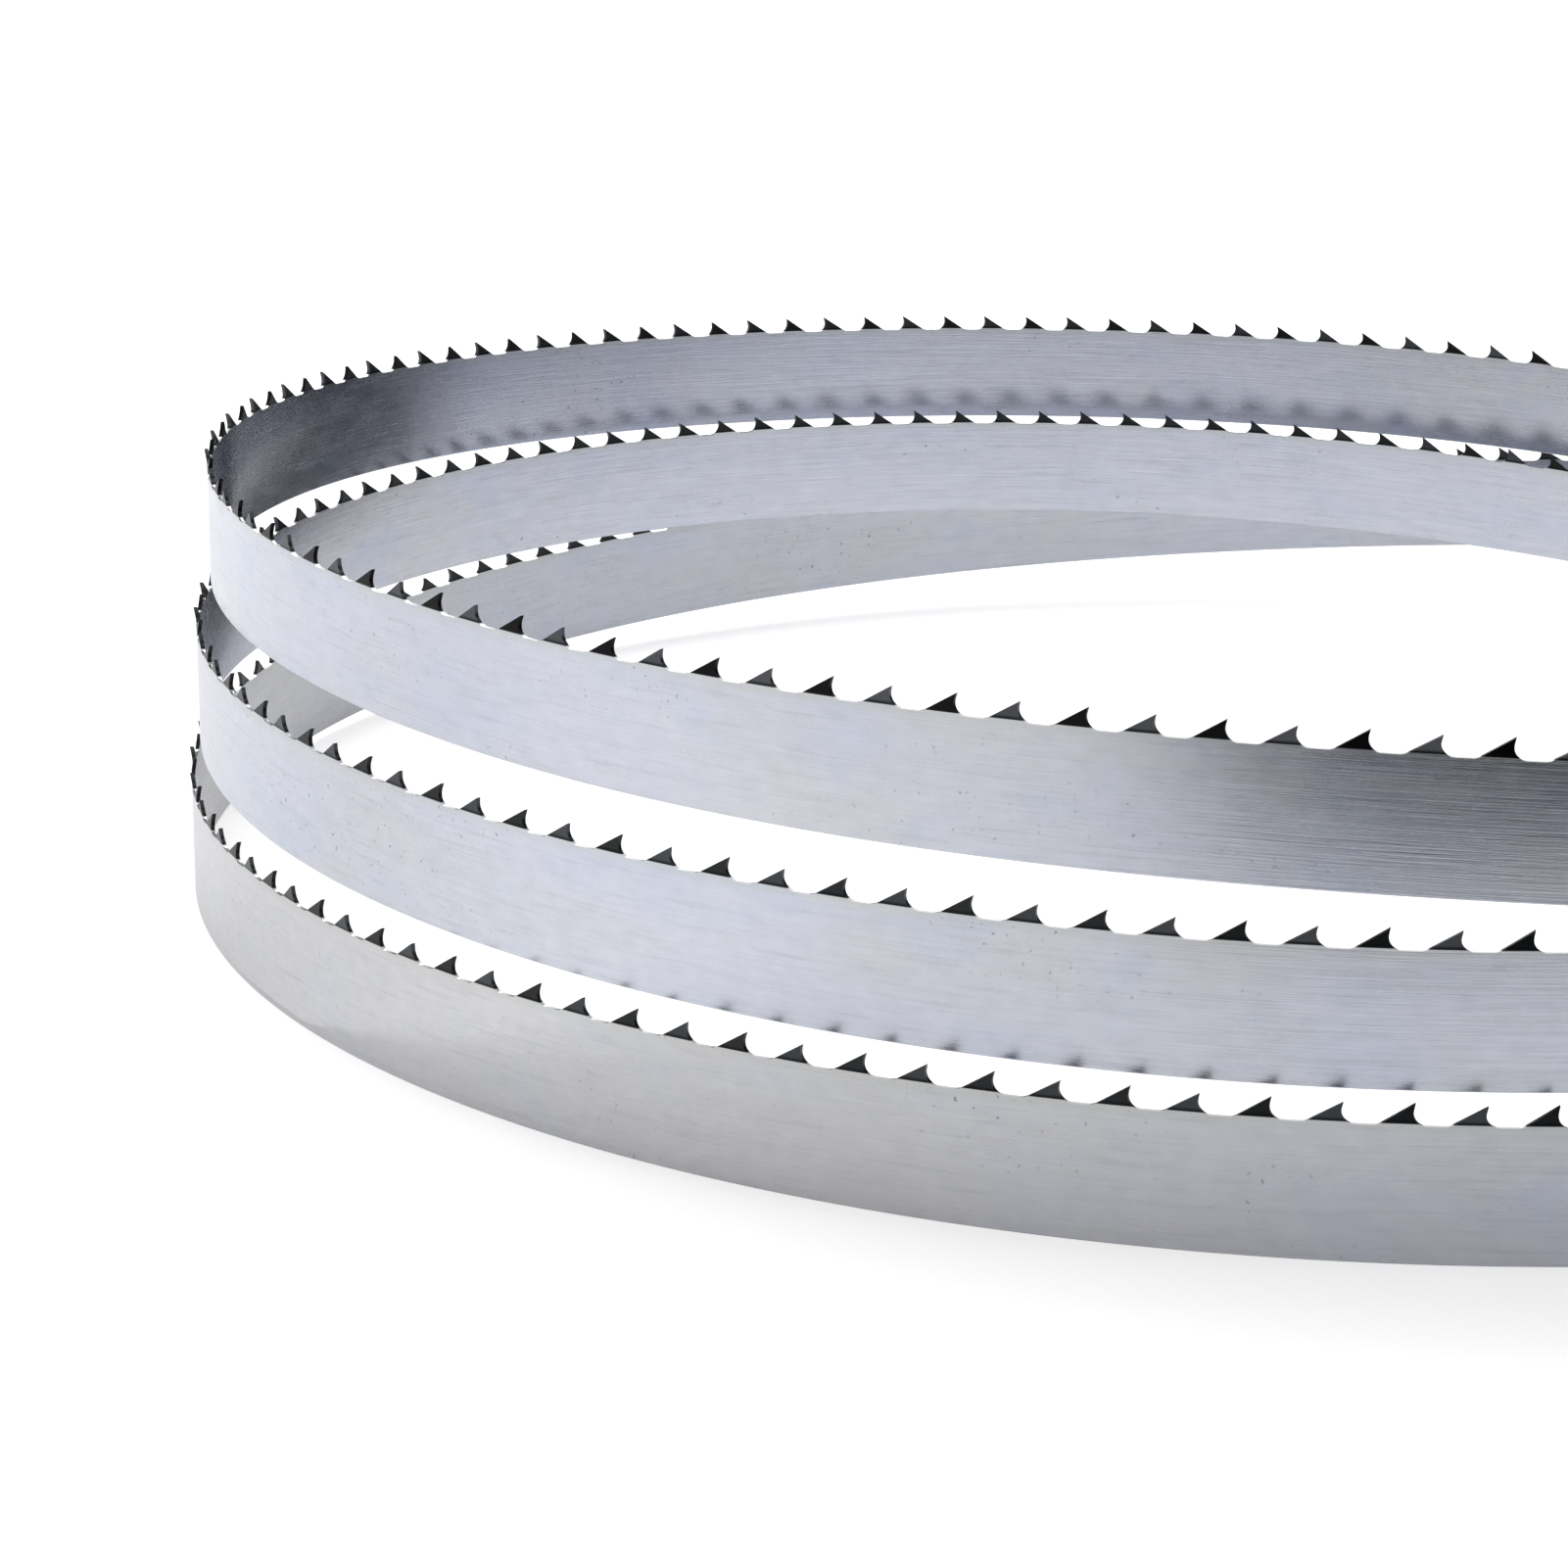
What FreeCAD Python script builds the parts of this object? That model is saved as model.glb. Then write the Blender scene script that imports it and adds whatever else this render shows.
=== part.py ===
import FreeCAD, Part
import math
import os
from bisect import bisect_right

# Band saw blade: one toothed steel strip, welded into an endless loop, lying coiled in three
# turns with its back edge down and its teeth up.  All sizes are in millimetres.

# The strip
blade_width = 20.0          # back edge to tooth tips
blade_thickness = 0.6

# The teeth, three to the inch, with wide gullets
tooth_pitch = 25.4 / 3
tooth_depth = 2.7           # tip down to the floor of the gullet
gullet_width = 4.6          # between the feet of two teeth, at the height of the bend
gullet_radius = 1.6         # round between the cutting face and the floor of the gullet
bend_height = 0.5           # the teeth are bent at this height above the floor
set_width = 0.35            # sideways lean of the tips, to the inside and outside in turn
rake_angle = 12.0           # forward lean of the cutting face, in degrees
rake_facets = 1             # flat facets of the round above the bend; one more is below it

# The coil
coil_radius = 184.0
turn_gap = 1.5              # height left free between two turns, one above the other
lane_gap = 1.4              # room left free between two turns, side by side

# How the loop lies, every 60 degrees through its three turns, from the right by the back, the
# left and the front: (lanes outside the coil radius, levels above the bench).  The first turn
# comes down from the top to the inside, the second moves out over the third, and the third
# lies on the bench and climbs between the two to the top.
coil_lay = [
    (0.75, 0.4), (-1.0, 1.45), (2.75, 1.95), (-1.5, 2.2), (-4.0, 2.05), (0.75, 1.6),
    (-2.0, 0.0), (-7.75, 0.6), (-2.75, 1.15), (-0.75, 1.15), (-1.25, 0.95), (1.75, 1.05),
    (3.5, 1.3), (7.0, 0.7), (6.75, 0.2), (0.25, 0.0), (1.25, 0.0), (2.5, 0.0),
]
turns = 3
samples_per_turn = 720

lane_width = blade_thickness + lane_gap
level_height = blade_width + turn_gap
plate_width = blade_width - tooth_depth

UP = FreeCAD.Vector(0, 0, 1)
SIDES = (-0.5, 0.5)         # inside and outside flank, in thicknesses from the middle


def lay_curve():
    """Smooth curve of (radius, height) over the turns that the strip has made."""
    points = []
    for lane, level in coil_lay:
        radius = coil_radius + lane * lane_width
        points.append(FreeCAD.Vector(radius, level * level_height, 0))
    # the loop is gone round three times, so that its middle round meets itself smoothly
    rounds = points * 3 + points[:1]
    turned = [turns * (i / len(points) - 1) for i in range(len(rounds))]
    curve = Part.BSplineCurve()
    curve.interpolate(Points=rounds, Parameters=turned)
    return curve


def back_point(curve, turned):
    """Middle of the back edge after so many turns; the lowest stretches lie on the bench."""
    lay = curve.value(turned)
    angle = 2 * math.pi * turned
    return FreeCAD.Vector(lay.x * math.cos(angle), lay.x * math.sin(angle), max(lay.y, 0.0))


def gullet_stations():
    """Points of the back edge below every gullet, equally far apart along the strip."""
    curve = lay_curve()
    samples = turns * samples_per_turn
    turned = [turns * i / samples for i in range(samples + 1)]
    points = [back_point(curve, turn) for turn in turned]
    lengths = [0.0]
    for here, there in zip(points, points[1:]):
        lengths.append(lengths[-1] + here.distanceToPoint(there))
    # an even number, because the teeth lean to the inside and the outside in turn
    tooth_count = 2 * round(lengths[-1] / tooth_pitch / 2)
    stations = []
    for tooth in range(tooth_count):
        # the first gullet is half a pitch along the strip
        wanted = lengths[-1] * (tooth + 0.5) / tooth_count
        i = bisect_right(lengths, wanted) - 1
        share = (wanted - lengths[i]) / (lengths[i + 1] - lengths[i])
        stations.append(back_point(curve, turned[i] + share * (turned[i + 1] - turned[i])))
    print("loop length", round(lengths[-1], 1), "teeth", tooth_count)
    return stations


def tooth_outline():
    """Edge of one tooth as (run, height above the gullet floor): foot of the back, tip, cutting
    face and its round down to the bend, and last the end of the round on the floor."""
    rake = math.radians(rake_angle)
    radius = min(gullet_radius, 0.9 * tooth_depth / (1 + math.sin(rake)))
    straight = tooth_depth - radius * (1 + math.sin(rake))
    at_bend = math.asin(1 - bend_height / radius)
    turns_of_round = [-rake + (at_bend + rake) * k / rake_facets for k in range(rake_facets + 1)]
    face = []
    for turn in turns_of_round + [math.pi / 2]:
        run = radius * (math.cos(rake) - math.cos(turn)) - straight * math.tan(rake)
        face.append((run, radius * (1 - math.sin(turn))))
    tip_run = tooth_pitch - gullet_width - face[-2][0]
    edge = [(0.0, bend_height), (tip_run, tooth_depth)]
    return edge + [(tip_run + run, height) for run, height in face]


def outward(direction):
    """Level unit vector to the outside of the coil, across a direction of travel."""
    return FreeCAD.Vector(direction.y, -direction.x, 0).normalize()


class Joint:
    """Section of the plain strip below the middle of a gullet, mitred to both neighbours."""

    def __init__(self, before, here, after):
        first = outward(here - before)
        second = outward(after - here)
        mitre = (first + second) * (blade_thickness / (1 + first.dot(second)))
        along = after - before
        rise = plate_width * along.Length / math.hypot(along.x, along.y)
        self.floor = here + UP * rise
        self.back = [here + mitre * side for side in SIDES]
        self.gullet = [self.floor + mitre * side for side in SIDES]


def panel(*corners):
    """Flat face through its corners."""
    return Part.Face(Part.makePolygon(list(corners) + [corners[0]]))


def tooth_faces(left, right, outline, lean):
    """All faces of the strip between two gullets, with the tooth that stands there."""
    chord = right.floor - left.floor
    across = outward(chord)
    along = FreeCAD.Vector(chord).normalize()
    upright = across.cross(along)
    foot_to_foot = outline[-2][0]
    foot = left.floor + along * ((chord.Length - foot_to_foot) / 2)
    faces = []
    rails = []
    for i, side in enumerate(SIDES):
        edge = []
        for run, height in outline:
            offset = side * blade_thickness + lean * max(height - bend_height, 0.0)
            edge.append(foot + along * run + upright * height + across * offset)
        faces.append(panel(*edge[:-1]))
        faces.append(panel(left.back[i], right.back[i], right.gullet[i], edge[-1], edge[-2],
                           edge[0], left.gullet[i]))
        rails.append([left.gullet[i]] + edge + [right.gullet[i]])
    inner, outer = rails
    for k in range(1, len(inner) - 2):
        faces.append(panel(inner[k], inner[k + 1], outer[k + 1], outer[k]))
    # the narrow faces next to a mitre are a little twisted, so each is two triangles
    twisted = [(inner[0], inner[1], outer[1], outer[0]),
               (inner[-2], inner[-1], outer[-1], outer[-2]),
               (left.back[0], right.back[0], right.back[1], left.back[1])]
    for a, b, c, d in twisted:
        faces.append(panel(a, b, c))
        faces.append(panel(a, c, d))
    return faces


def make_blade():
    """The whole closed strip with its set teeth, standing on the bench about its middle."""
    stations = gullet_stations()
    count = len(stations)
    joints = [Joint(stations[i - 1], stations[i], stations[(i + 1) % count]) for i in range(count)]
    outline = tooth_outline()
    set_slope = set_width / (tooth_depth - bend_height)
    faces = []
    for i in range(count):
        lean = set_slope if i % 2 else -set_slope
        faces += tooth_faces(joints[i], joints[(i + 1) % count], outline, lean)
    shell = Part.makeShell(faces)
    shell.sewShape()
    blade = Part.makeSolid(Part.Shell(shell.Faces))
    if blade.Volume < 0:
        blade.reverse()
    box = blade.BoundBox
    blade.translate(FreeCAD.Vector(-box.Center.x, -box.Center.y, -box.ZMin))
    return blade


def main():
    blade = make_blade()
    box = blade.BoundBox
    print("valid", blade.isValid(), "closed", blade.isClosed(), "volume", round(blade.Volume, 1))
    print("box", round(box.XLength, 2), round(box.YLength, 2), round(box.ZLength, 2))
    os.makedirs("parts", exist_ok=True)
    blade.exportStep("parts/blade.step")


if __name__ == "__main__":
    main()
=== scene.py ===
import math

import bpy
import numpy
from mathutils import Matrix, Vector


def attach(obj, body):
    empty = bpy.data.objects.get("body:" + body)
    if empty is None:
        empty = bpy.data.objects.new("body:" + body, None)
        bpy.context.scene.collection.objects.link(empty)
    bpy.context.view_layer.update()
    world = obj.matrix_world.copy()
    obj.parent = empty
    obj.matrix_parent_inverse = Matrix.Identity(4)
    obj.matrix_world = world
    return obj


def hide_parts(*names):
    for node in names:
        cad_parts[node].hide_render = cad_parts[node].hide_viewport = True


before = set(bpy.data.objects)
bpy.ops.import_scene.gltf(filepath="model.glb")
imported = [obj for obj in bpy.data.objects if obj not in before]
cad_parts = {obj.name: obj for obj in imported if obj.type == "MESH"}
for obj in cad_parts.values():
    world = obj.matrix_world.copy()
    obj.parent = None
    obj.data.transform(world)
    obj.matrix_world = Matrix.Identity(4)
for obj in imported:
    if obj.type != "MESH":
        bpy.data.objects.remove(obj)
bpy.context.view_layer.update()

bl_info = {
    "name": "Coiled band saw blade",
    "version": (1, 0, 0),
    "blender": (4, 5, 0),
    "location": "View3D > Sidebar > Band saw blade",
    "description": "Builds a toothed steel band, coiled in three turns, and a white studio",
    "category": "Object",
}

# How the loop lies, every 60 degrees through its three turns: lanes outside the coil radius
# and levels above the bench, the same as in the part's source.
COIL_LAY = [
    (0.75, 0.4), (-1.0, 1.45), (2.75, 1.95), (-1.5, 2.2), (-4.0, 2.05), (0.75, 1.6),
    (-2.0, 0.0), (-7.75, 0.6), (-2.75, 1.15), (-0.75, 1.15), (-1.25, 0.95), (1.75, 1.05),
    (3.5, 1.3), (7.0, 0.7), (6.75, 0.2), (0.25, 0.0), (1.25, 0.0), (2.5, 0.0),
]
TURNS = 3
SAMPLES_PER_GAP = 120

# Flat steps along the parts of a tooth's edge
SLOPE_ROUND_STEPS = 4
BACK_STEPS = 3
FACE_ROUND_STEPS = 5
FLOOR_ROUND_STEPS = 4
# The round before the back of a tooth takes at most this share of the floor in front of it.
LARGEST_SHARE = 0.9
# An edge across the band is sharp where the outline turns by more than this.
SHARP_TURN = math.radians(35)
# Points that are this near to each other are one: along a tooth's edge, in the flat row of
# teeth, and in the wound band, whose ends meet.
SAME_POINT = 1e-6
ROW_MERGE = 2e-6
LOOP_MERGE = 2e-5

# Stretches of the strip that differ from the rest, in metres from its start: where each begins,
# is full, fades and is over
GREY_STRETCH = (2.70, 2.88, 3.08, 3.26)
# Painted shade: darker along the end of the lowest turn, by the floor, and on the inside faces of
# the first and the last turn
PAINTED_SHADE_END = (3.02, 3.20, 3.40, 3.48)
PAINTED_SHADE_FIRST_INSIDE = (0.02, 0.06, 0.20, 0.36)
PAINTED_SHADE_LAST_INSIDE = (2.40, 2.52, 2.78, 2.88)
# Between these places the painted reflections of the teeth that lean in and out grow more alike.
ALIKE_STRETCH = (1.15, 1.75)
# The weld is at the right, this far along the strip, with its tint this far to both sides.
WELD_RUN = 0.021
WELD_TINT = (0.0015, 0.004, 0.0045, 0.010)

# Heights above the floor of the gullets, each from where a change begins to where it is full
TINT_RISE = (-0.0016, 0.0004)
TOOTH_RISE = (0.00022, 0.00034)
BASE_LINE_END = (0.00050, 0.00085)

# The studio, in metres.  Its cards are seen only in the steel.  A dark one lies just above the
# floor in front and begins softly at its left, and a light one lies at the left, with a soft
# front and back.  Upright dark ones stand far out round the front and right, and inside the back
# left of the coil, each through stations of (degrees, radius).
FLOOR_CORNERS = ((-6.0, -6.0), (6.0, 6.0))
FRONT_CORNERS = ((-0.235, -1.0), (0.6, -0.34))
FRONT_HEIGHT = 0.002
FRONT_FADES = [(-0.235, -0.125)]
LEFT_CORNERS = ((-0.6, -0.28), (-0.16, -0.06))
LEFT_HEIGHT = 0.001
LEFT_FADES = [(-0.28, -0.20), (-0.06, -0.14)]
SIDE_STATIONS = [(-115.0, 1.0), (65.0, 1.0)]
SIDE_HEIGHTS = (0.0, 0.6)
INSIDE_STATIONS = [(90.0, 0.161), (121.0, 0.1730), (164.0, 0.1822), (173.0, 0.184)]
INSIDE_HEIGHTS = (0.013, 0.09)
CARD_STEPS = 24
# Glow of the floor where the camera sees it, and where the steel mirrors it
SEEN_GLOW = 0.38
MIRRORED_GLOW = 0.1
LAMP_PLACE = (-0.4, 0.9, 1.2)
LAMP_SIZE = 1.2
CAMERA_PLACE = (-0.093786, -0.670734, 0.1821)
CAMERA_DIP = 0.2523
CAMERA_CLIP = 0.01
WHITE = (1.0, 1.0, 1.0)


def size(name, description, default):
    """A length that a user may change, in metres."""
    return bpy.props.FloatProperty(name=name, description=description, default=default,
                                   min=0.0, precision=5, unit="LENGTH")


def colour(name, description, default):
    """A colour that a user may change."""
    return bpy.props.FloatVectorProperty(name=name, description=description, default=default,
                                         size=3, min=0.0, max=1.0, subtype="COLOR")


def amount(name, description, default, largest=1.0):
    """A plain number that a user may change."""
    return bpy.props.FloatProperty(name=name, description=description, default=default,
                                   min=0.0, max=largest)


class BandSizes(bpy.types.PropertyGroup):
    """Sizes of the toothed band and of its coil."""

    width: size("Width", "Back edge to tooth tips", 0.020)
    thickness: size("Thickness", "Thickness of the band", 0.0006)
    pitch: size("Tooth pitch", "Distance between two teeth", 0.0254 / 3)
    tooth_depth: size("Tooth depth", "Tip to the floor of the gullet", 0.0027)
    gullet_width: size("Gullet width", "Between the feet of two teeth", 0.0046)
    gullet_radius: size("Gullet radius", "Round below the cutting face", 0.0016)
    back_radius: size("Back slope radius", "Round before the back of a tooth", 0.0022)
    bend_height: size("Bend height", "Bend of the teeth above the gullet floor", 0.0005)
    set_width: size("Set", "Sideways lean of the tips", 0.00035)
    edge_round: size("Edge round", "Round along the back edge", 0.00012)
    rake: bpy.props.FloatProperty(name="Rake", description="Forward lean of the cutting face",
                                  default=math.radians(12.0), subtype="ANGLE")
    # 0.1 mm and 0.01 mm less than in the part's source, whose flat facets lie a little inside
    coil_radius: size("Coil radius", "Middle radius of the coil", 0.1839)
    turn_gap: size("Turn gap", "Height left free between two turns", 0.00149)
    lane_gap: size("Lane gap", "Room left free between turns side by side", 0.0014)


class BandFinish(bpy.types.PropertyGroup):
    """Colours and surface of the steel."""

    steel: colour("Steel", "Ground steel", (0.60, 0.62, 0.70))
    cool: colour("Cool patches", "Bluish patches of the ground steel", (0.56, 0.60, 0.71))
    warm: colour("Warm patches", "Warm patches of the ground steel", (0.64, 0.62, 0.67))
    plain: colour("Plain patches", "Greyer stretches of the ground steel", (0.60, 0.60, 0.612))
    scratch: colour("Scratches", "Duller lines of the grinding", (0.36, 0.37, 0.40))
    rim: colour("Edges", "Ground edges of the band", (0.66, 0.66, 0.67))
    olive: colour("Gullet tint", "Tint along the gullets", (0.52, 0.53, 0.47))
    # The teeth are dark hardened steel. Their black and grey in turn, by the way they lean, are
    # painted reflections.
    tooth_tone_in_painted_shade: colour("Black teeth", "Hardened teeth that lean inside", (0.012, 0.012, 0.013))
    tooth_tone_out_painted_sheen: colour("Grey teeth", "Hardened teeth that lean outside", (0.085, 0.09, 0.098))
    darker_tooth_tone_out_painted_sheen: colour("Darker grey teeth", "Some of the grey teeth", (0.045, 0.048, 0.055))
    later_tooth_tone_in_painted_shade: colour("Later black teeth", "Further along the band", (0.038, 0.042, 0.044))
    later_tooth_tone_out_painted_sheen: colour("Later grey teeth", "Further along the band", (0.045, 0.050, 0.052))
    speck: colour("Specks", "Small dark specks", (0.09, 0.09, 0.10))
    weld: colour("Weld tint", "Heat tint on both sides of the weld", (0.30, 0.24, 0.20))
    roughness: amount("Roughness", "Roughness of the ground flanks", 0.25)


class StudioSettings(bpy.types.PropertyGroup):
    """Floor, light and camera."""

    floor: colour("Floor", "Colour of the floor", (0.90, 0.90, 0.90))
    card: colour("Cards", "Colour of the dark cards that the steel mirrors", (0.022, 0.025, 0.032))
    highlight: amount("Highlight", "Strength of the light card on the left", 1.11, 5.0)
    sky: amount("Sky", "Strength of the light from all round", 0.66, 5.0)
    lamp: amount("Lamp", "Power of the large soft lamp, in watts", 14.0, 500.0)
    lens: amount("Lens", "Focal length of the camera, in millimetres", 97.97, 500.0)


class Flow:
    """One output of a node, with which formulas can be written as they are read."""

    def __init__(self, net, socket):
        self.net = net
        self.socket = socket

    def is_vector(self):
        """Whether it carries a vector or a colour, and not a number."""
        return self.socket.type in ("VECTOR", "RGBA")

    def other(self, name):
        """Another output of the same node."""
        return Flow(self.net, self.socket.node.outputs[name])

    def combine(self, operation, left, right):
        """Output of a new node that works out left and right."""
        vectors = [isinstance(side, Flow) and side.is_vector() for side in (left, right)]
        if not any(vectors):
            return self.net.math(operation, left, right)
        if operation == "MULTIPLY" and not all(vectors):
            arrow, number = (left, right) if vectors[0] else (right, left)
            return self.net.node("ShaderNodeVectorMath", {"operation": "SCALE"},
                                 {0: arrow, "Scale": number})
        return self.net.node("ShaderNodeVectorMath", {"operation": operation},
                             {0: left, 1: right})

    def __add__(self, other):
        return self.combine("ADD", self, other)

    def __radd__(self, other):
        return self.combine("ADD", other, self)

    def __sub__(self, other):
        return self.combine("SUBTRACT", self, other)

    def __rsub__(self, other):
        return self.combine("SUBTRACT", other, self)

    def __mul__(self, other):
        return self.combine("MULTIPLY", self, other)

    def __rmul__(self, other):
        return self.combine("MULTIPLY", other, self)

    def __truediv__(self, other):
        return self.combine("DIVIDE", self, other)

    def __rtruediv__(self, other):
        return self.combine("DIVIDE", other, self)


class Net:
    """A node tree, and the one way in which nodes come into it."""

    def __init__(self, tree):
        self.tree = tree
        tree.nodes.clear()

    def node(self, kind, settings=None, sockets=None, output=0):
        """Adds a node; the settings come first, then the values or links of its sockets."""
        node = self.tree.nodes.new(kind)
        for name, value in (settings or {}).items():
            setattr(node, name, value)
        for key, value in (sockets or {}).items():
            target = node.inputs[key]
            if isinstance(value, Flow):
                self.tree.links.new(value.socket, target)
            elif target.type == "RGBA" and len(value) == 3:
                target.default_value = (*value, 1.0)
            else:
                target.default_value = value
        return Flow(self, node.outputs[output]) if len(node.outputs) else None

    def math(self, operation, *values):
        return self.node("ShaderNodeMath", {"operation": operation}, dict(enumerate(values)))

    def vector(self, operation, *values, output=0):
        return self.node("ShaderNodeVectorMath", {"operation": operation},
                         dict(enumerate(values)), output)

    def split(self, arrow):
        """The X, Y and Z of a vector."""
        x = self.node("ShaderNodeSeparateXYZ", sockets={0: arrow})
        return x, x.other("Y"), x.other("Z")

    def join(self, x, y, z):
        return self.node("ShaderNodeCombineXYZ", sockets={0: x, 1: y, 2: z})

    def blend(self, factor, first, second):
        """Mix of two colours."""
        return self.node("ShaderNodeMix", {"data_type": "RGBA"},
                         {"Factor": factor, "A": first, "B": second}, "Result")

    def rise(self, value, low, high):
        """0 below low, 1 above high, and smooth between them."""
        return self.node("ShaderNodeMapRange", {"interpolation_type": "SMOOTHSTEP"},
                         {"Value": value, "From Min": low, "From Max": high})

    def stretch(self, value, begins, full, fades, over):
        """0 outside a stretch of the value, 1 inside it, with soft ends."""
        return self.rise(value, begins, full) * (1.0 - self.rise(value, fades, over))

    def noise(self, place, scale, detail=2.0, roughness=0.5):
        return self.node("ShaderNodeTexNoise", None,
                         {"Vector": place, "Scale": scale, "Detail": detail,
                          "Roughness": roughness})

    def grain(self, place, scales, detail=2.0, roughness=0.5):
        """Noise with a scale of its own for each of a place's three numbers."""
        scaled = [part * scale for part, scale in zip(place, scales)]
        return self.noise(self.join(*scaled), 1.0, detail, roughness)


def closed_spline(values):
    """Smooth closed curve through evenly spaced values, sampled between them.

    Its pieces are cubic, and the bends of two pieces are the same where they meet.
    """
    values = numpy.array(values)
    count = len(values)
    one = numpy.eye(count)
    after = numpy.roll(values, -1)
    system = 4 * one + numpy.roll(one, 1, 0) + numpy.roll(one, -1, 0)
    bends = numpy.linalg.solve(system, after - 2 * values + numpy.roll(values, 1))
    t = numpy.arange(SAMPLES_PER_GAP)[None, :] / SAMPLES_PER_GAP
    s = 1 - t
    here, there = values[:, None], after[:, None]
    bend_here, bend_there = bends[:, None], numpy.roll(bends, -1)[:, None]
    curve = s * here + t * there + (s ** 3 - s) * bend_here + (t ** 3 - t) * bend_there
    return curve.ravel()


def coil_points(sizes):
    """Points of the back edge through all turns, about the middle of the coil's outline."""
    lanes, levels = zip(*COIL_LAY)
    radius = sizes.coil_radius + closed_spline(lanes) * (sizes.thickness + sizes.lane_gap)
    height = closed_spline(levels) * (sizes.width + sizes.turn_gap)
    angle = numpy.arange(len(radius)) * (math.tau * TURNS / len(radius))
    points = numpy.stack([radius * numpy.cos(angle), radius * numpy.sin(angle),
                          numpy.maximum(height, 0.0)], axis=1)
    plan = points[:, :2]
    plan -= (plan.min(axis=0) + plan.max(axis=0)) / 2
    return points


def coil_curve(points):
    """Closed curve object through the points."""
    data = bpy.data.curves.new("coil_path", "CURVE")
    data.dimensions = "3D"
    spline = data.splines.new("POLY")
    spline.points.add(len(points) - 1)
    flat = numpy.hstack([points, numpy.ones((len(points), 1))]).ravel()
    spline.points.foreach_set("co", flat)
    spline.use_cyclic_u = True
    path = bpy.data.objects.new("coil_path", data)
    bpy.context.scene.collection.objects.link(path)
    return path


def loop_length(points):
    """Length of the closed line through the points."""
    return float(numpy.linalg.norm(numpy.roll(points, -1, axis=0) - points, axis=1).sum())


def arc(centre, radius, start, end, steps):
    """Points on an arc, whose angles count from straight down and grow along the run."""
    for k in range(steps + 1):
        angle = start + (end - start) * k / steps
        yield (centre[0] + radius * math.sin(angle), centre[1] - radius * math.cos(angle))


def tooth_profile(sizes):
    """Toothed edge from the middle of a gullet to the next, as (run, height above the floor)."""
    rake = sizes.rake
    depth = sizes.tooth_depth
    bend = sizes.bend_height
    radius = sizes.gullet_radius
    # the cutting face is straight from the tip to its round, whose centre is this far along
    straight = depth - radius * (1 + math.sin(rake))
    to_centre = radius * math.cos(rake) - straight * math.tan(rake)
    at_bend = math.asin(1 - bend / radius)
    # the feet, at the height of the bend, are this far from the middles of the gullets
    foot = sizes.gullet_width / 2
    tip = sizes.pitch - foot - (to_centre - radius * math.cos(at_bend))
    slope = math.atan2(depth - bend, tip - foot)
    # the floor runs into the back of the tooth by a round
    corner = foot - bend / math.tan(slope)
    reach = min(sizes.back_radius * math.tan(slope / 2), LARGEST_SHARE * corner)
    back_radius = reach / math.tan(slope / 2)
    edge = [(0.0, 0.0)]
    edge += arc((corner - reach, back_radius), back_radius, 0.0, slope, SLOPE_ROUND_STEPS)
    for k in range(BACK_STEPS):
        share = k / BACK_STEPS
        edge.append((foot + (tip - foot) * share, bend + (depth - bend) * share))
    edge.append((tip, depth))
    start = tip - straight * math.tan(rake)
    edge.append(((tip + start) / 2, depth - straight / 2))
    # the round of the gullet, above the bend and below it
    centre = (tip + to_centre, radius)
    bend_angle = at_bend - math.pi / 2
    edge += arc(centre, radius, -math.pi / 2 - rake, bend_angle, FACE_ROUND_STEPS)
    edge += arc(centre, radius, bend_angle, 0.0, FLOOR_ROUND_STEPS)
    edge.append((sizes.pitch, 0.0))
    later = [there for here, there in zip(edge, edge[1:]) if math.dist(here, there) > SAME_POINT]
    return edge[:1] + later


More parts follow.
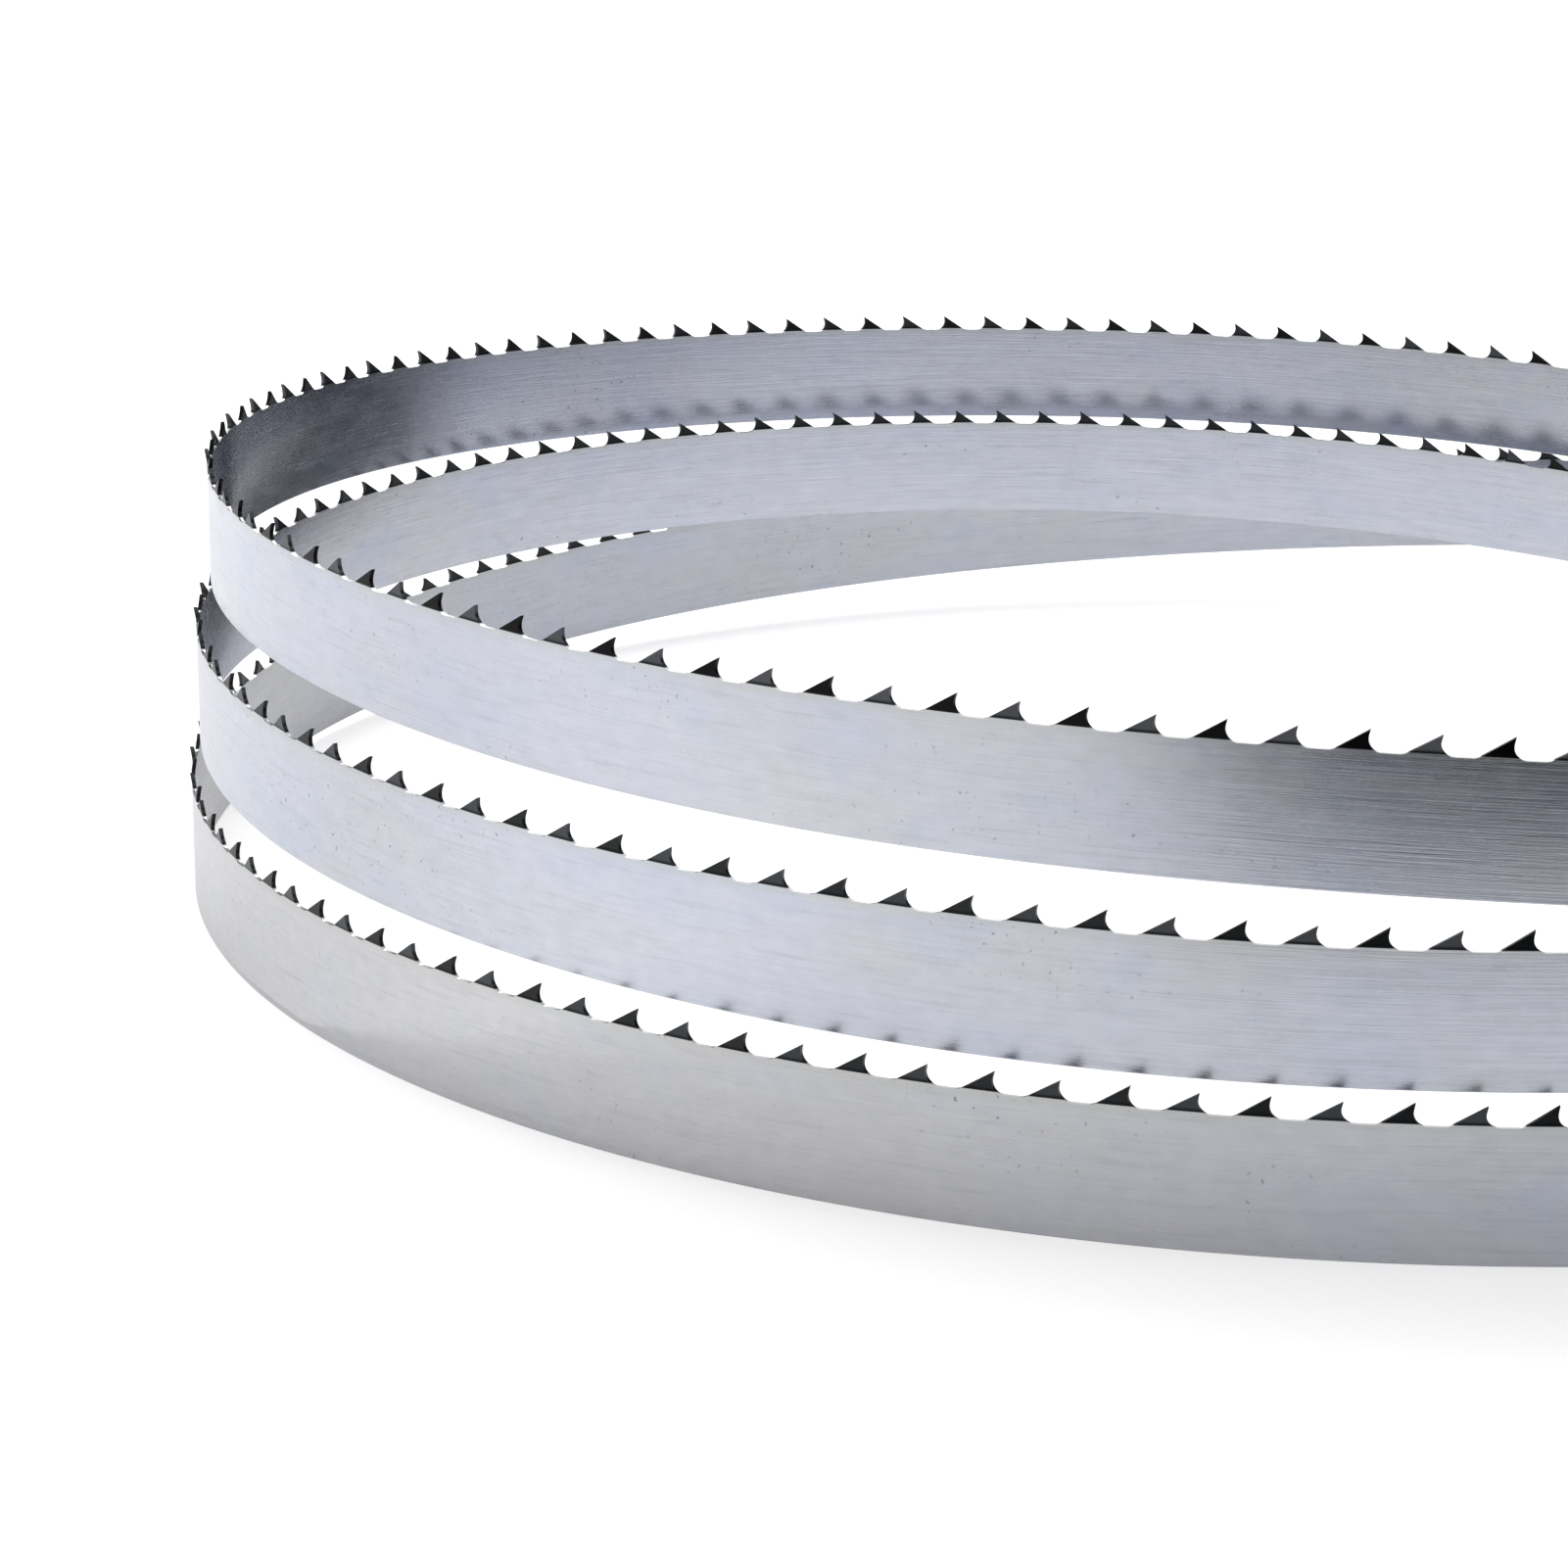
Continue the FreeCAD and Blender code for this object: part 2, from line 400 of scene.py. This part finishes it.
class PairBuilder:
    """Mesh of two teeth and the band below them, laid out flat: X along, Y across, Z up."""

    def __init__(self, sizes):
        self.sizes = sizes
        self.points = []
        self.faces = []
        self.rim = []
        self.sharp = set()

    def point(self, x, y, z):
        self.points.append((x, y, z))
        return len(self.points) - 1

    def face(self, corners, flip=False, rim=0.0):
        """Adds a face; a corner that is the same point as the one before it is left out."""
        kept = [c for i, c in enumerate(corners) if c != corners[i - 1]]
        self.faces.append(kept[::-1] if flip else kept)
        self.rim.append(rim)

    def crease(self, line, i):
        """Marks the step after point i of a line as a sharp edge."""
        self.sharp.add(frozenset((line[i], line[i + 1])))

    def flank(self, edge, start, lean, side):
        """One flank of a pitch, inside (-1) or outside (1).

        Gives back the points along its toothed edge and along its back edge.
        """
        sizes = self.sizes
        floor = sizes.width - sizes.tooth_depth
        bend = sizes.bend_height
        slope = lean * sizes.set_width / (sizes.tooth_depth - bend)
        half = side * sizes.thickness / 2
        # the bend is the line between the last points on each side that aren't bent
        bent = [i for i, (run, height) in enumerate(edge) if height > bend + SAME_POINT]
        first, last = bent[0] - 1, bent[-1] + 1
        steps = len(edge) - 1
        top, root, low, near_back, back = [], [], [], [], []
        for i, (run, height) in enumerate(edge):
            x = start + run
            even = start + sizes.pitch * i / steps
            offset = half + slope * max(height - bend, 0.0)
            top.append(self.point(x, offset, floor + height))
            if first < i < last:
                share = (i - first) / (last - first)
                x_root = edge[first][0] + (edge[last][0] - edge[first][0]) * share
                root.append(self.point(start + x_root, half, floor + bend))
            else:
                root.append(top[-1])
            low.append(self.point((x + even) / 2, half, floor - bend))
            near_back.append(self.point(even, half, sizes.edge_round))
            back.append(self.point(even, half - side * sizes.edge_round, 0.0))
        for i in range(steps):
            rows = [(root, low), (low, near_back), (near_back, back)]
            if first <= i < last:
                rows.insert(0, (top, root))
                self.crease(root, i)
            for upper, lower in rows:
                self.face([upper[i], lower[i], lower[i + 1], upper[i + 1]], flip=side < 0)
            self.crease(top, i)
            self.crease(near_back, i)
        return top, back

    def tooth(self, start, lean):
        """One pitch of the band, whose tooth leans to the outside (1) or the inside (-1)."""
        edge = tooth_profile(self.sizes)
        inner_rim, inner_back = self.flank(edge, start, lean, -1)
        outer_rim, outer_back = self.flank(edge, start, lean, 1)
        for i in range(len(edge) - 1):
            self.face([inner_rim[i], outer_rim[i], outer_rim[i + 1], inner_rim[i + 1]], rim=1.0)
            self.face([inner_back[i], outer_back[i], outer_back[i + 1], inner_back[i + 1]],
                      flip=True)
        headings = [math.atan2(there[1] - here[1], there[0] - here[0])
                    for here, there in zip(edge, edge[1:])]
        for i, (before, after) in enumerate(zip(headings, headings[1:]), 1):
            if abs(math.remainder(after - before, math.tau)) > SHARP_TURN:
                self.sharp.add(frozenset((inner_rim[i], outer_rim[i])))

    def mesh(self):
        """The finished mesh, with its sharp edges and the faces of the toothed edge marked."""
        data = bpy.data.meshes.new("tooth_pair")
        data.from_pydata(self.points, [], self.faces)
        for edge in data.edges:
            edge.use_edge_sharp = frozenset(edge.vertices) in self.sharp
        rim = data.attributes.new("rim", "FLOAT", "FACE")
        rim.data.foreach_set("value", self.rim)
        for polygon in data.polygons:
            polygon.use_smooth = True
        return data


def wind_tree():
    """Geometry nodes that lay tooth pairs in a row and wind the row along the coil."""
    tree = bpy.data.node_groups.new("wind_band", "GeometryNodeTree")
    for name, kind in (("Tooth pair", "Geometry"), ("Pairs", "Int"), ("Pitch", "Float"),
                       ("Floor height", "Float"), ("Path", "Object"), ("Steel", "Material")):
        tree.interface.new_socket(name, in_out="INPUT", socket_type="NodeSocket" + kind)
    tree.interface.new_socket("Band", in_out="OUTPUT", socket_type="NodeSocketGeometry")
    net = Net(tree)
    given = net.node("NodeGroupInput")
    pitch = given.other("Pitch")
    count = given.other("Pairs")
    step = net.join(pitch * 2.0, 0.0, 0.0)
    row = net.node("GeometryNodeMeshLine", {"mode": "OFFSET"}, {"Count": count, "Offset": step})
    laid = net.node("GeometryNodeInstanceOnPoints", None, {"Points": row, "Instance": given})
    flat = net.node("GeometryNodeRealizeInstances", None, {"Geometry": laid})
    flat = net.node("GeometryNodeMergeByDistance", None,
                    {"Geometry": flat, "Distance": ROW_MERGE})
    place = net.node("GeometryNodeInputPosition")
    marked = net.node("GeometryNodeStoreNamedAttribute",
                      {"data_type": "FLOAT_VECTOR", "domain": "CORNER"},
                      {"Geometry": flat, "Name": "strip", "Value": place})
    # the first gullet is half a pitch along the loop, as in the part's source
    run, across, height = net.split(place)
    share = net.math("FRACT", (run + pitch * 0.5) / (count * pitch * 2.0))
    curve = net.node("GeometryNodeObjectInfo", None, {"Object": given.other("Path")}, "Geometry")
    sample = net.node("GeometryNodeSampleCurve", {"mode": "FACTOR"},
                      {"Curves": curve, "Factor": share}, "Position")
    along = sample.other("Tangent")
    level = net.vector("CROSS_PRODUCT", along, (0.0, 0.0, 1.0))
    outward = net.vector("NORMALIZE", level)
    upright = net.vector("CROSS_PRODUCT", outward, along)
    # the plain band stands plumb, and only the teeth stand square to the climbing path
    plate = net.math("MINIMUM", height, given.other("Floor height"))
    lift = plate / net.vector("LENGTH", level, output="Value")
    wound = sample + outward * across + upright * (height - plate) + net.join(0.0, 0.0, lift)
    band = net.node("GeometryNodeSetPosition", None, {"Geometry": marked, "Position": wound})
    band = net.node("GeometryNodeMergeByDistance", None,
                    {"Geometry": band, "Distance": LOOP_MERGE})
    band = net.node("GeometryNodeSetMaterial", None,
                    {"Geometry": band, "Material": given.other("Steel")})
    net.node("NodeGroupOutput", None, {"Band": band})
    return tree


def flank_colour(net, finish, strip, noises):
    """Colour of the ground flanks below the gullets, from the noises of their grain."""
    run = strip[0]
    broad, patch, cloud, streak, brushed = noises
    # one long stretch of the lowest turn is greyer than the rest
    long_stretch = net.stretch(run, *GREY_STRETCH)
    greyer = net.math("MAXIMUM", long_stretch * 0.9, net.rise(broad, 0.42, 0.60) * 0.4)
    shade = net.blend(greyer, finish.steel, finish.plain)
    cooler = net.rise(patch, 0.50, 0.66) * (0.8 - long_stretch * 0.6)
    shade = net.blend(cooler, shade, finish.cool)
    shade = net.blend(net.rise(cloud, 0.54, 0.74) * 0.5, shade, finish.warm)
    scratch_and_painted_shade = net.rise(streak, 0.50, 0.78) * 0.26 + net.rise(brushed, 0.45, 0.75) * 0.16
    shade = net.blend(scratch_and_painted_shade, shade, finish.scratch)
    blotch = net.grain(strip, (260.0, 4.0, 420.0), 3.0, 0.6)
    return shade * (0.91 + blotch * 0.2)


def tooth_colour(net, finish, run, above, pitch):
    """Colour of the hardened teeth, with painted reflections: every second one leans out and is
    painted greyer.
    """
    tooth_number = net.math("FLOOR", run / pitch)
    leans_out = net.math("MODULO", tooth_number, 2.0)
    chance = net.node("ShaderNodeTexWhiteNoise", {"noise_dimensions": "1D"},
                      {"W": tooth_number}, "Value")
    alike = net.rise(run, *ALIKE_STRETCH)
    # painted reflections: darker where a tooth leans inside, greyer where it leans outside, more
    # alike further along
    black = net.blend(alike * 0.7, finish.tooth_tone_in_painted_shade, finish.later_tooth_tone_in_painted_shade)
    grey = net.blend(chance * 0.4, finish.tooth_tone_out_painted_sheen, finish.darker_tooth_tone_out_painted_sheen)
    grey = net.blend(alike * 0.5, grey, finish.later_tooth_tone_out_painted_sheen)
    base_line = 1.0 - net.rise(above, *BASE_LINE_END)
    return net.blend(base_line * 0.8, net.blend(leans_out, black, grey), finish.tooth_tone_in_painted_shade)


def ground_steel(finish, sizes):
    """Satin steel, ground lengthwise, with dark hardened teeth and a few specks."""
    material = bpy.data.materials.new("ground_steel")
    material.use_nodes = True
    net = Net(material.node_tree)
    place = net.node("ShaderNodeAttribute", {"attribute_name": "strip"}, output="Vector")
    run, across, height = net.split(place)
    rim = net.node("ShaderNodeAttribute", {"attribute_name": "rim"}, output="Fac")
    side = net.rise(across, -1e-5, 1e-5)
    above = height - (sizes.width - sizes.tooth_depth)

    # both flanks have patches and scratches of their own
    strip = (run, side, height)
    broad = net.grain(strip, (14.0, 9.0, 30.0))
    patch = net.grain(strip, (45.0, 5.0, 90.0), 3.0, 0.6)
    cloud = net.grain(strip, (80.0, 3.0, 260.0), 4.0, 0.65)
    streak = net.grain(strip, (70.0, 7.0, 1300.0), 3.0, 0.6)
    brushed = net.grain(strip, (40.0, 3.0, 4200.0), 3.0, 0.65)
    shade = flank_colour(net, finish, strip, (broad, patch, cloud, streak, brushed))

    # tint and a slight darkening just below the gullets
    shade = net.blend(net.rise(above, *TINT_RISE) * 0.4, shade, finish.olive)

    # dark specks, in clusters
    spot = net.noise(net.join(run, side * 0.5, height), 1100.0, 1.0)
    cluster = net.rise(net.grain(strip, (20.0, 4.0, 70.0)), 0.46, 0.64)
    specks = net.rise(spot, 0.66, 0.75) * cluster
    shade = net.blend(specks * 0.55, shade, finish.speck)

    # painted shade in stretches: darker along the end of the lowest turn, by the floor, and on the
    # inside faces of the first and the last turn, inside the coil
    painted_shade_end = net.stretch(run, *PAINTED_SHADE_END) * 0.10
    painted_shade_inside = net.math("MAXIMUM", net.stretch(run, *PAINTED_SHADE_FIRST_INSIDE) * 0.13,
                           net.stretch(run, *PAINTED_SHADE_LAST_INSIDE) * 0.11)
    scratch_and_painted_shade = net.math("MAXIMUM", painted_shade_end, painted_shade_inside * (1.0 - side))
    shade = shade * (1.0 - scratch_and_painted_shade)

    # the weld that closes the loop
    from_weld = net.math("ABSOLUTE", run - WELD_RUN)
    tinted = net.stretch(from_weld, *WELD_TINT)
    shade = net.blend(tinted * 0.5, shade, finish.weld)

    # the ground edges, and the teeth, which are dark on their edges too
    is_tooth = net.rise(above, *TOOTH_RISE)
    shade = net.blend(rim, shade, finish.rim)
    shade = net.blend(is_tooth, shade, tooth_colour(net, finish, run, above, sizes.pitch))

    rough = finish.roughness + (brushed - 0.5) * 0.16 + (cloud - 0.5) * 0.14 + is_tooth * 0.12
    # height of the scratches and of the flat weld, in thousandths of a millimetre
    relief = brushed * 12.0 + streak * 9.0 + cloud * 3.0 + tinted * 12.0
    bump = net.node("ShaderNodeBump", None,
                    {"Strength": 1.0, "Distance": 1e-6, "Height": relief})
    steel = net.node("ShaderNodeBsdfPrincipled", None,
                     {"Base Color": shade, "Metallic": 1.0, "Roughness": rough, "Normal": bump})
    net.node("ShaderNodeOutputMaterial", None, {"Surface": steel})
    return material


def white_floor(studio):
    """White floor that stays white for the camera and still takes the band's shadow."""
    material = bpy.data.materials.new("studio_floor")
    material.use_nodes = True
    net = Net(material.node_tree)
    paths = net.node("ShaderNodeLightPath")
    mirrored = net.math("MAXIMUM", paths.other("Is Glossy Ray"), paths.other("Is Transmission Ray"))
    strength = paths * SEEN_GLOW + mirrored * MIRRORED_GLOW
    matt = net.node("ShaderNodeBsdfDiffuse", None, {"Color": studio.floor})
    glow = net.node("ShaderNodeEmission", None, {"Color": WHITE, "Strength": strength})
    both = net.node("ShaderNodeAddShader", None, {0: matt, 1: glow})
    net.node("ShaderNodeOutputMaterial", None, {"Surface": both})
    return material


def card_material(name, shade, strength=1.0, axis="X", fades=()):
    """Plain glow of a card, seen only from its front.

    The fades are pairs of places along the axis: clear at the first, and full at the second.
    """
    material = bpy.data.materials.new(name)
    material.use_nodes = True
    net = Net(material.node_tree)
    glow = net.node("ShaderNodeEmission", None, {"Color": shade, "Strength": strength})
    clear = net.node("ShaderNodeBsdfTransparent")
    hidden = net.node("ShaderNodeNewGeometry", output="Backfacing")
    for begins, full in fades:
        places = net.split(net.node("ShaderNodeTexCoord", output="Object"))
        share = (places["XYZ".index(axis)] - begins) / (full - begins)
        hidden = net.math("MAXIMUM", hidden, 1.0 - share)
    both = net.node("ShaderNodeMixShader", None, {0: hidden, 1: glow, 2: clear})
    net.node("ShaderNodeOutputMaterial", None, {"Surface": both})
    return material


def stage_object(name, points, faces, material):
    """Part of the stage, which isn't part of the band."""
    data = bpy.data.meshes.new(name)
    data.from_pydata(points, [], faces)
    data.materials.append(material)
    made = bpy.data.objects.new(name, data)
    bpy.context.scene.collection.objects.link(made)
    return made


def level_sheet(name, corners, height, material):
    """Rectangle that faces up, between two opposite corners."""
    low, high = corners
    points = [(low[0], low[1], height), (high[0], low[1], height),
              (high[0], high[1], height), (low[0], high[1], height)]
    return stage_object(name, points, [(0, 1, 2, 3)], material)


def bent_card(name, stations, heights, material):
    """Upright card that faces the middle of the coil, through stations of (degrees, radius)."""
    angles, radii = zip(*stations)
    points, faces = [], []
    for angle in numpy.linspace(angles[0], angles[-1], CARD_STEPS + 1):
        radius = float(numpy.interp(angle, angles, radii))
        turned = math.radians(angle)
        for height in heights:
            points.append((radius * math.cos(turned), radius * math.sin(turned), height))
    for k in range(CARD_STEPS):
        faces.append((2 * k, 2 * k + 1, 2 * k + 3, 2 * k + 2))
    return stage_object(name, points, faces, material)


class BAND_OT_build(bpy.types.Operator):
    """Build the toothed steel band in its coil"""

    bl_idname = "band.build"
    bl_label = "Build band"

    def execute(self, context):
        sizes = context.scene.band_sizes
        points = coil_points(sizes)
        path = coil_curve(points)
        # whole pairs, because the teeth lean to the inside and the outside in turn
        pairs = round(loop_length(points) / sizes.pitch / 2)
        builder = PairBuilder(sizes)
        builder.tooth(0.0, -1)
        builder.tooth(sizes.pitch, 1)
        row = bpy.data.objects.new("band_row", builder.mesh())
        context.scene.collection.objects.link(row)
        steel = ground_steel(context.scene.band_finish, sizes)
        tree = wind_tree()
        modifier = row.modifiers.new("wind", "NODES")
        modifier.node_group = tree
        # the values of the tree's named inputs
        values = {"Pairs": pairs, "Pitch": sizes.pitch, "Path": path, "Steel": steel,
                  "Floor height": sizes.width - sizes.tooth_depth}
        for item in tree.interface.items_tree:
            if item.name in values:
                modifier[item.identifier] = values[item.name]
        graph = context.evaluated_depsgraph_get()
        mesh = bpy.data.meshes.new_from_object(row.evaluated_get(graph), depsgraph=graph)
        mesh.name = "toothed_band"
        band = bpy.data.objects.new("toothed_band", mesh)
        context.scene.collection.objects.link(band)
        bpy.data.objects.remove(row)
        bpy.data.objects.remove(path)
        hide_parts("blade")
        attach(band, "root")
        return {"FINISHED"}


class BAND_OT_studio(bpy.types.Operator):
    """Set up the white floor, the light and the camera"""

    bl_idname = "band.studio"
    bl_label = "Set up studio"

    def execute(self, context):
        studio = context.scene.band_studio
        level_sheet("studio_floor", FLOOR_CORNERS, 0.0, white_floor(studio))
        dark = card_material("dark_card", studio.card)
        fading = card_material("fading_card", studio.card, 1.0, "X", FRONT_FADES)
        light = card_material("light_card", WHITE, studio.highlight, "Y", LEFT_FADES)
        cards = [
            level_sheet("card_front", FRONT_CORNERS, FRONT_HEIGHT, fading),
            level_sheet("card_light", LEFT_CORNERS, LEFT_HEIGHT, light),
            bent_card("card_side", SIDE_STATIONS, SIDE_HEIGHTS, dark),
            bent_card("card_inside", INSIDE_STATIONS, INSIDE_HEIGHTS, dark),
        ]
        for card in cards:
            card.visible_camera = False
            card.visible_diffuse = False
            card.visible_shadow = False
            card.visible_transmission = False
        self.sky(context.scene, studio)
        self.lamp(context.scene, studio)
        self.camera(context.scene, studio)
        context.scene.view_settings.view_transform = "Standard"
        return {"FINISHED"}

    def sky(self, scene, studio):
        """Even white all round, fully white where it is seen or mirrored."""
        world = bpy.data.worlds.new("studio_sky")
        world.use_nodes = True
        scene.world = world
        net = Net(world.node_tree)
        paths = net.node("ShaderNodeLightPath")
        seen = net.math("MAXIMUM", paths, paths.other("Is Glossy Ray"))
        seen = net.math("MAXIMUM", seen, paths.other("Is Transmission Ray"))
        strength = studio.sky + seen * (1.0 - studio.sky)
        white = net.node("ShaderNodeBackground", None, {"Color": WHITE, "Strength": strength})
        net.node("ShaderNodeOutputWorld", None, {"Surface": white})

    def lamp(self, scene, studio):
        """One large soft lamp above and behind the band, to the left."""
        data = bpy.data.lights.new("soft_lamp", "AREA")
        data.energy = studio.lamp
        data.shape = "SQUARE"
        data.size = LAMP_SIZE
        lamp = bpy.data.objects.new("soft_lamp", data)
        lamp.location = LAMP_PLACE
        # it looks at the middle of the coil
        lamp.rotation_euler = (-Vector(LAMP_PLACE)).to_track_quat("-Z", "Y").to_euler()
        scene.collection.objects.link(lamp)

    def camera(self, scene, studio):
        """Low in front of the left half, with a long lens."""
        data = bpy.data.cameras.new("camera")
        data.lens = studio.lens
        data.clip_start = CAMERA_CLIP
        camera = bpy.data.objects.new("camera", data)
        camera.location = CAMERA_PLACE
        camera.rotation_euler = (math.pi / 2 - CAMERA_DIP, 0.0, 0.0)
        scene.collection.objects.link(camera)
        scene.camera = camera


class BAND_PT_panel(bpy.types.Panel):
    """Buttons and settings of the band and its studio"""

    bl_idname = "BAND_PT_panel"
    bl_label = "Band saw blade"
    bl_space_type = "VIEW_3D"
    bl_region_type = "UI"
    bl_category = "Band saw blade"

    def draw(self, context):
        layout = self.layout
        for operator in OPERATORS:
            layout.operator(operator.bl_idname)
        for group in GROUPS:
            settings = getattr(context.scene, group)
            for name in settings.__annotations__:
                layout.prop(settings, name)


OPERATORS = (BAND_OT_build, BAND_OT_studio)
GROUPS = {"band_sizes": BandSizes, "band_finish": BandFinish, "band_studio": StudioSettings}


def register():
    """Makes the settings, operators and panel known to Blender."""
    for made in (*GROUPS.values(), *OPERATORS, BAND_PT_panel):
        bpy.utils.register_class(made)
    for name, group in GROUPS.items():
        setattr(bpy.types.Scene, name, bpy.props.PointerProperty(type=group))


def unregister():
    """Takes them out again."""
    for name in GROUPS:
        delattr(bpy.types.Scene, name)
    for made in (BAND_PT_panel, *OPERATORS, *GROUPS.values()):
        bpy.utils.unregister_class(made)


def main():
    """Makes everything."""
    register()
    bpy.ops.band.build()
    bpy.ops.band.studio()


if __name__ == "__main__":
    main()
